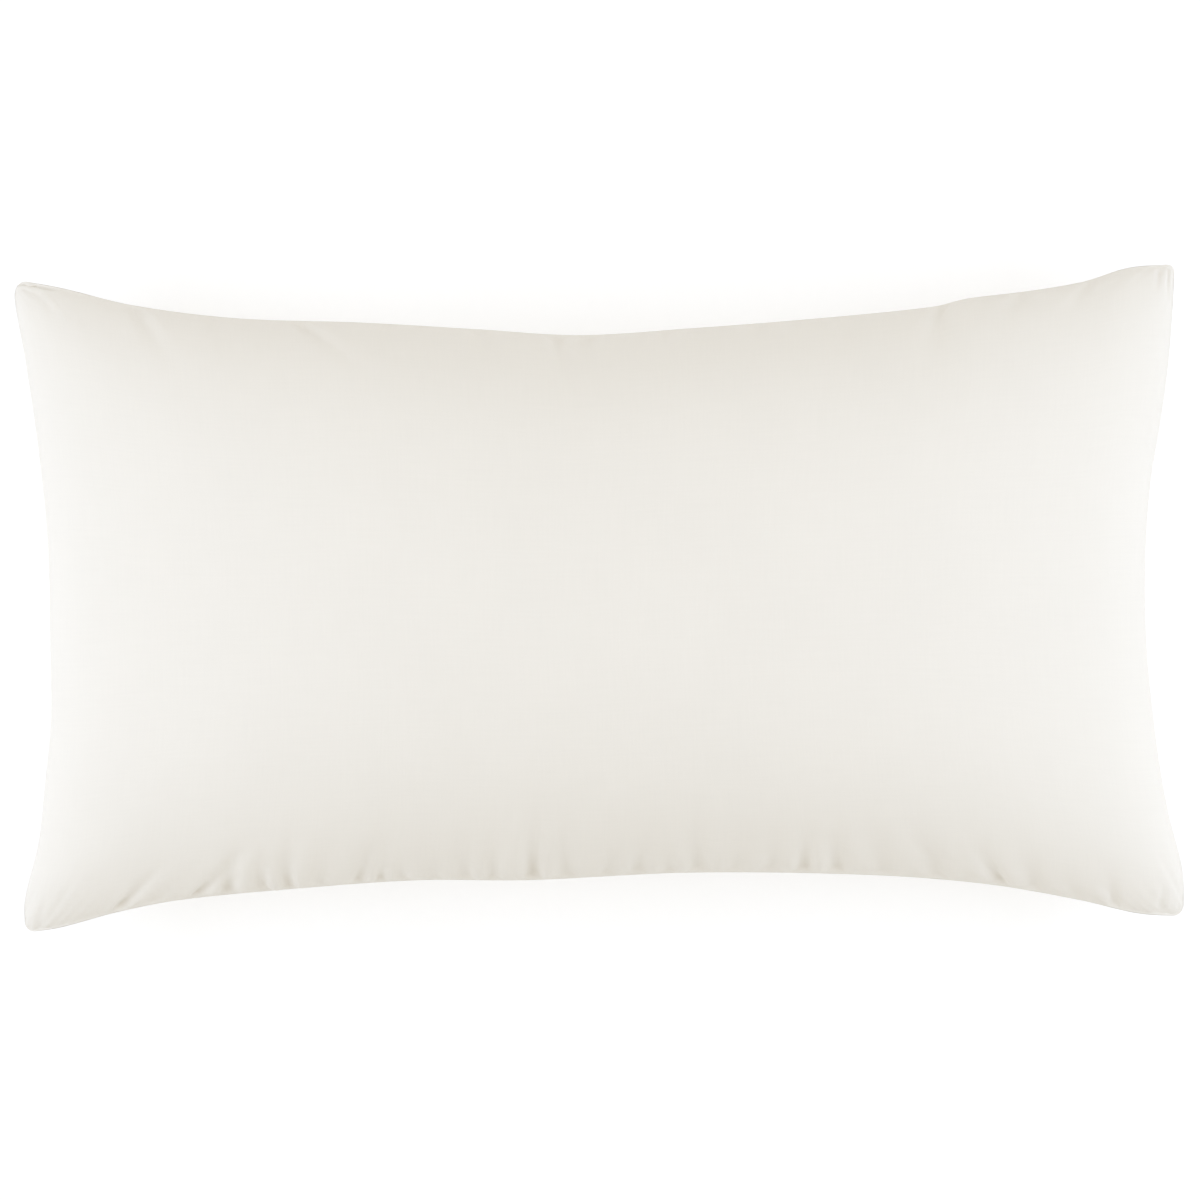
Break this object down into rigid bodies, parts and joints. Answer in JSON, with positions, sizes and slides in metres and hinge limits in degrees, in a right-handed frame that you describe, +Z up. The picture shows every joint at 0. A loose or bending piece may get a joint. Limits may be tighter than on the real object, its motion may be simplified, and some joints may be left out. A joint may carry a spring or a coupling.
{
  "type": "pillow sham",
  "caption": "Plain knife-edge pillow sham on its insert: a plump, crowned rectangular cushion with drawn-in sides, lying on its back on a flat patch.",
  "frame": {"origin": "on the surface that the sham lies on, under the middle of its box", "axes": "+X along the length, +Y towards the top seam, +Z up out of the front panel"},
  "size_m": [0.897, 0.5034, 0.197],
  "materials": {
    "ivory_cotton": "smooth, closely woven cotton with a faint sheen"
  },
  "bodies": {
    "root": {"sham": "ivory_cotton"}
  },
  "joints": []
}
